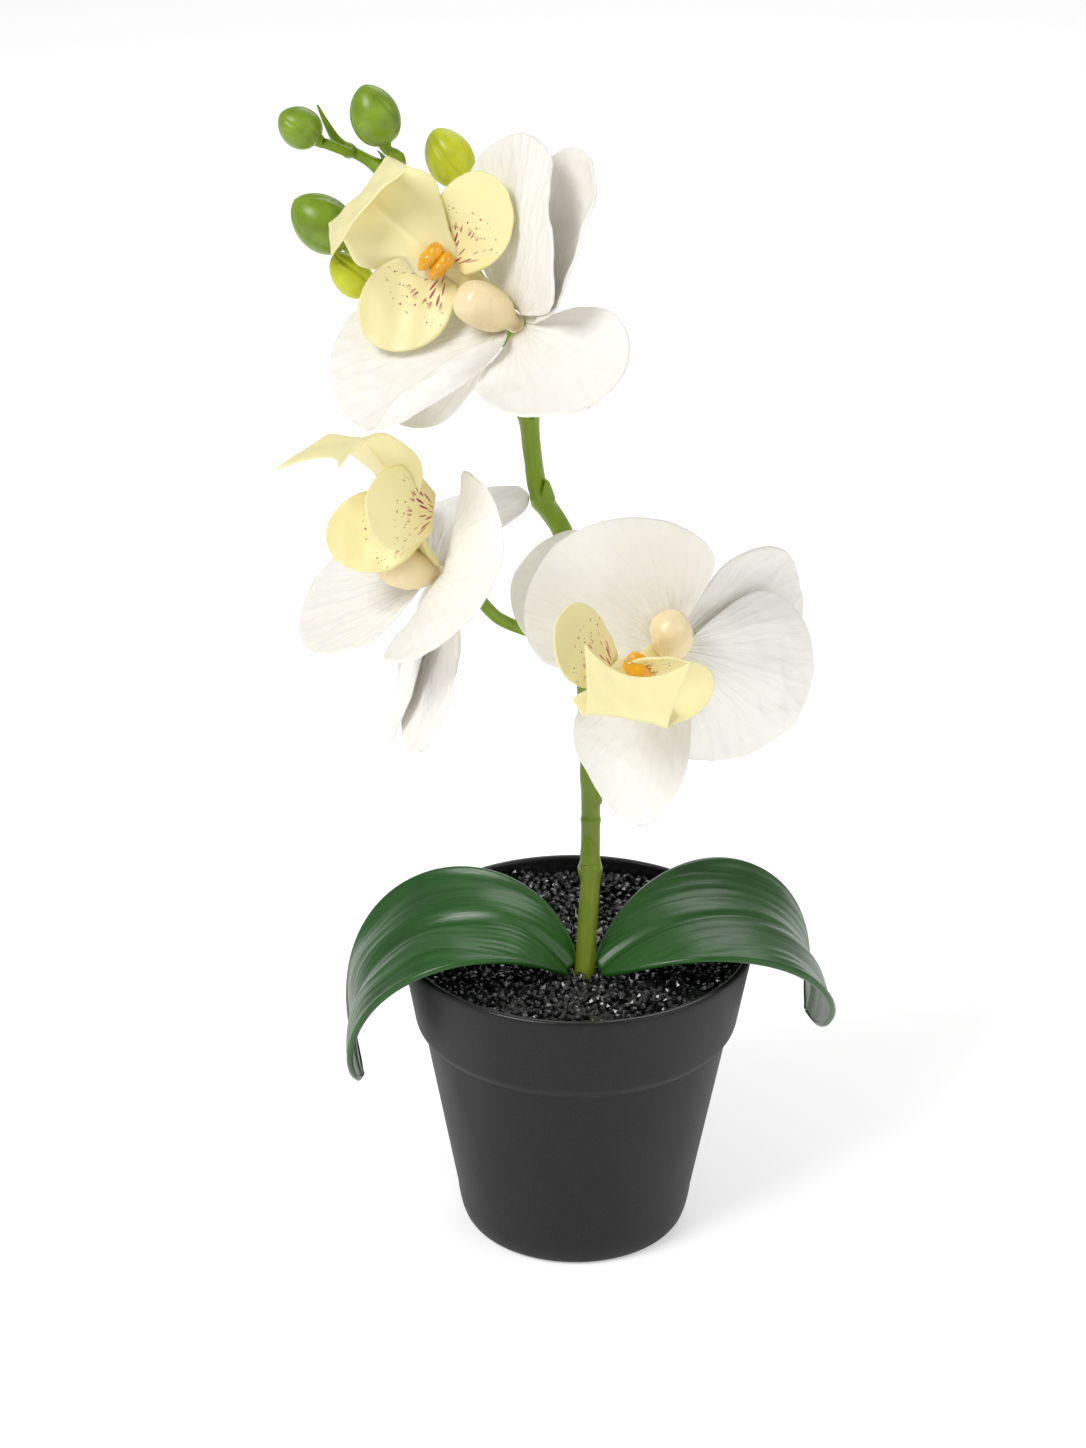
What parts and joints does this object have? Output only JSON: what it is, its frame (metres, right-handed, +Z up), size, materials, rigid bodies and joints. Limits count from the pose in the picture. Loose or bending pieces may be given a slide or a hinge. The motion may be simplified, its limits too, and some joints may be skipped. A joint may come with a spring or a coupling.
{
  "type": "potted orchid",
  "caption": "Small moth orchid in a plain round pot: arching flower stem with open flowers and buds over broad leaves and dark grit.",
  "frame": {"origin": "middle of the pot's flat underside, on the surface it stands on", "axes": "+Z up; the front of the plant, where the lower flower faces, is -Y; +X is to the right seen from the front"},
  "size_m": [0.1364, 0.1189, 0.3035],
  "materials": {
    "pot_plastic": "black moulded plastic with a fine matte texture",
    "grit": "glossy black granules",
    "leaf": "waxy dark green leaf with lengthwise ribs",
    "stem": "smooth green stalk, olive near the base",
    "petal": "thin warm white petal with fine raised veins",
    "lip": "pale yellow lip with red streaks and an orange callus",
    "column": "smooth cream column",
    "bud": "smooth green bud with shallow seams",
    "bud_yellow": "smooth yellow-green bud with shallow seams"
  },
  "bodies": {
    "root": {"bud_side": "bud", "bud_top": "bud", "bud_top_left": "bud", "bud_yellow_left": "bud_yellow", "bud_yellow_right": "bud_yellow", "grit": "grit", "leaf_left": "leaf", "leaf_right": "leaf", "left_flower_column": "column", "left_flower_dorsal_sepal": "petal", "left_flower_lip": "lip", "left_flower_petal_far": "petal", "left_flower_petal_near": "petal", "left_flower_sepal_far": "petal", "left_flower_sepal_near": "petal", "left_flower_stalk": "stem", "lower_flower_column": "column", "lower_flower_dorsal_sepal": "petal", "lower_flower_left_sepal": "petal", "lower_flower_lip": "lip", "lower_flower_lower_sepal": "petal", "lower_flower_petal_left": "petal", "lower_flower_petal_right": "petal", "lower_flower_stalk": "stem", "pot": "pot_plastic", "stem": "stem", "upper_flower_column": "column", "upper_flower_dorsal_sepal": "petal", "upper_flower_lip": "lip", "upper_flower_lower_sepal": "petal", "upper_flower_petal_lower": "petal", "upper_flower_petal_upper": "petal", "upper_flower_stalk": "stem", "upper_flower_upper_sepal": "petal"}
  },
  "joints": []
}
